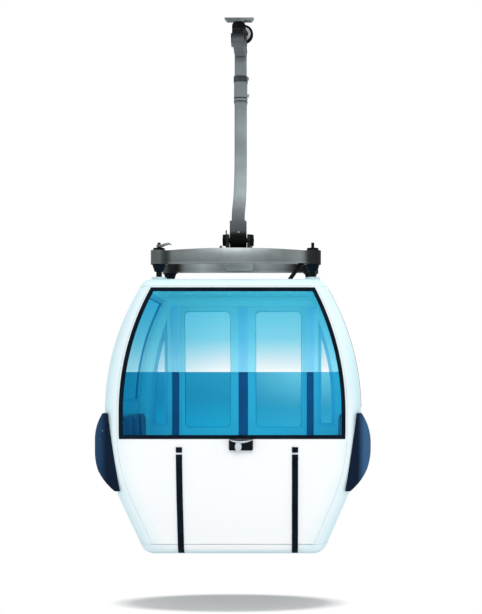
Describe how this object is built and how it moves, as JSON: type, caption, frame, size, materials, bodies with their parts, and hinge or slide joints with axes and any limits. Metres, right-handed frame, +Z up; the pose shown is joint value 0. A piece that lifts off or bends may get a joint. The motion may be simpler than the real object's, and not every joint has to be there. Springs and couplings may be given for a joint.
{
  "type": "cable car cabin",
  "caption": "Barrel-sided gondola cabin with blue windows, sliding doors, benches and end bumpers, hung by a bent arm from a rope grip.",
  "frame": {"origin": "on the axis of the rope, in the middle of the grip's jaws", "axes": "+X along the rope, +Y towards the door side, +Z up"},
  "size_m": [2.182, 1.942, 4.618],
  "materials": {
    "shell_white": "gloss",
    "floor_alloy": "brushed",
    "blue_glazing": "gloss",
    "rubber_black": "matte",
    "bumper_navy": "satin",
    "seat_blue": "matte",
    "bench_grey": "satin",
    "frame_grey": "satin",
    "arm_grey": "satin",
    "steel": "satin",
    "fitting_black": "satin"
  },
  "bodies": {
    "grip": {"grip_body": "arm_grey", "grip_jaw": "arm_grey", "friction_plate": "steel", "hanger_pin": "steel", "roller_axle": "steel", "spring_pots": "fitting_black", "grip_hood": "fitting_black"},
    "hanger": {"hanger_arm_lower": "arm_grey", "hanger_arm_upper": "arm_grey", "hanger_splice": "arm_grey"},
    "cabin": {"bench_base_left": "bench_grey", "bench_base_right": "bench_grey", "bumper_left": "bumper_navy", "bumper_right": "bumper_navy", "closed_side_panel": "shell_white", "closed_side_seal": "rubber_black", "closed_side_window": "blue_glazing", "corner_pane_seals": "rubber_black", "corner_panes": "blue_glazing", "cross_member": "frame_grey", "door_bottom_guide": "steel", "door_portal": "shell_white", "door_top_rail": "steel", "end_panel_left": "shell_white", "end_panel_right": "shell_white", "end_window_seals": "rubber_black", "end_windows": "blue_glazing", "floor_pan": "floor_alloy", "guard_strips": "rubber_black", "jamb_covers": "rubber_black", "pivot_pin": "steel", "roof_panel": "shell_white", "roof_posts": "fitting_black", "rubber_mounts": "rubber_black", "seat_back_left": "seat_blue", "seat_back_right": "seat_blue", "seat_cushion_left": "seat_blue", "seat_cushion_right": "seat_blue", "stay_strut": "steel", "suspension_beam_front": "frame_grey", "suspension_beam_rear": "frame_grey", "window_latch": "fitting_black"},
    "door_left": {"door_edge_left": "rubber_black", "door_glass_left": "blue_glazing", "door_leaf_left": "shell_white"},
    "door_right": {"door_edge_right": "rubber_black", "door_glass_right": "blue_glazing", "door_leaf_right": "shell_white"},
    "roller": {"grip_roller": "fitting_black"}
  },
  "joints": [
    {"name": "hanger_swing", "type": "hinge", "parent": "grip", "child": "hanger", "pos_m": [0, 0.43, 0.04], "axis": [0, 1, 0], "range_deg": [-40, 40]},
    {"name": "cabin_tilt", "type": "hinge", "parent": "hanger", "child": "cabin", "pos_m": [0, 0, -1.765], "axis": [1, 0, 0], "range_deg": [-8, 8]},
    {"name": "door_right_slide", "type": "slide", "parent": "cabin", "child": "door_right", "axis": [1, 0, 0], "range_m": [0, 0.43]},
    {"name": "door_left_slide", "type": "slide", "parent": "cabin", "child": "door_left", "axis": [-1, 0, 0], "range_m": [0, 0.43]},
    {"name": "roller_spin", "type": "hinge", "parent": "grip", "child": "roller", "pos_m": [0.032, 0.354, 0.158], "axis": [0, 1, 0], "continuous": true}
  ],
  "couplings": [
    {"joint": "door_left_slide", "follows": "door_right_slide", "ratio": 1}
  ]
}
